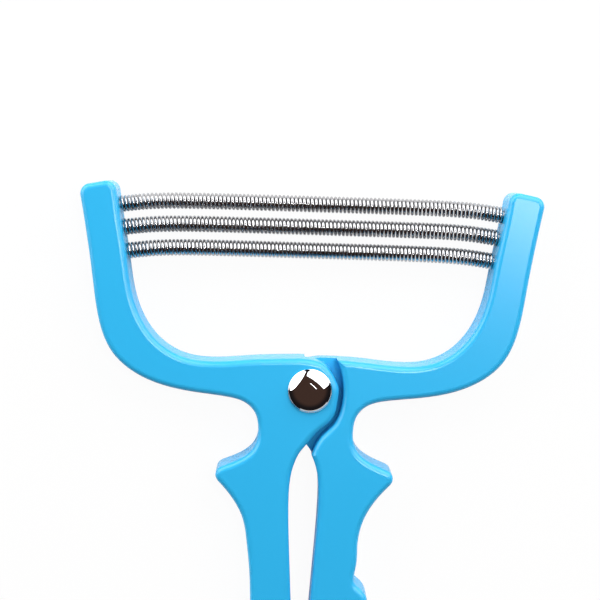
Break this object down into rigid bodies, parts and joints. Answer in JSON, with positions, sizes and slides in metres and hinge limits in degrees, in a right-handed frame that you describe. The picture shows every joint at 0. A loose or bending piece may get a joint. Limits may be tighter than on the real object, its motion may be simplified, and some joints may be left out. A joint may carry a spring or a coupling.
{
  "type": "spring hair remover",
  "caption": "Hand-held facial hair remover: squeezing two moulded handles stretches coil springs between two curved arms on a domed rivet.",
  "frame": {"origin": "under the middle of the whole tool as it lies on its back, handles squeezed together; the rivet is 0.65 mm to +X and 31.10 mm to +Y", "axes": "+X from the left arm to the right arm, +Y from the handle ends to the arm tips, +Z out of the front face with the domed cap"},
  "size_m": [0.0992, 0.1498, 0.0121],
  "materials": {
    "blue_plastic": "satin gloss, injection moulded",
    "chrome_cap": "bright chrome plate",
    "spring_steel": "nickel-plated spring wire",
    "turned_steel": "turned, bright"
  },
  "bodies": {
    "left_half": {"left_half": "blue_plastic", "rivet": "turned_steel", "rivet_cap": "chrome_cap", "rivet_washer": "turned_steel", "left_plug_top": "turned_steel", "left_plug_middle": "turned_steel", "left_plug_bottom": "turned_steel", "left_pin_top": "turned_steel", "left_pin_middle": "turned_steel", "left_pin_bottom": "turned_steel"},
    "right_half": {"right_half": "blue_plastic", "right_plug_top": "turned_steel", "right_plug_middle": "turned_steel", "right_plug_bottom": "turned_steel", "right_pin_top": "turned_steel", "right_pin_middle": "turned_steel", "right_pin_bottom": "turned_steel"},
    "spring_top": {"spring_top": "spring_steel"},
    "spring_middle": {"spring_middle": "spring_steel"},
    "spring_bottom": {"spring_bottom": "spring_steel"}
  },
  "joints": [
    {"name": "handle_pivot", "type": "hinge", "parent": "left_half", "child": "right_half", "pos_m": [0.00065, 0.0311, 0.005], "axis": [0, 0, 1], "range_deg": [0, 15], "stiffness_Nm_per_rad": 4.3, "springref_deg": 15, "deforming": ["spring_top", "spring_middle", "spring_bottom"]},
    {"name": "spring_top_swing", "type": "hinge", "parent": "left_half", "child": "spring_top", "pos_m": [-0.03736, 0.07047, 0.005], "axis": [0, 0, 1], "range_deg": [0, 7.5]},
    {"name": "spring_middle_swing", "type": "hinge", "parent": "left_half", "child": "spring_middle", "pos_m": [-0.03651, 0.06552, 0.005], "axis": [0, 0, 1], "range_deg": [0, 7.5]},
    {"name": "spring_bottom_swing", "type": "hinge", "parent": "left_half", "child": "spring_bottom", "pos_m": [-0.03566, 0.06042, 0.005], "axis": [0, 0, 1], "range_deg": [0, 7.5]}
  ],
  "couplings": [
    {"joint": "spring_top_swing", "follows": "handle_pivot", "ratio": 0.49},
    {"joint": "spring_middle_swing", "follows": "handle_pivot", "ratio": 0.49},
    {"joint": "spring_bottom_swing", "follows": "handle_pivot", "ratio": 0.49}
  ]
}
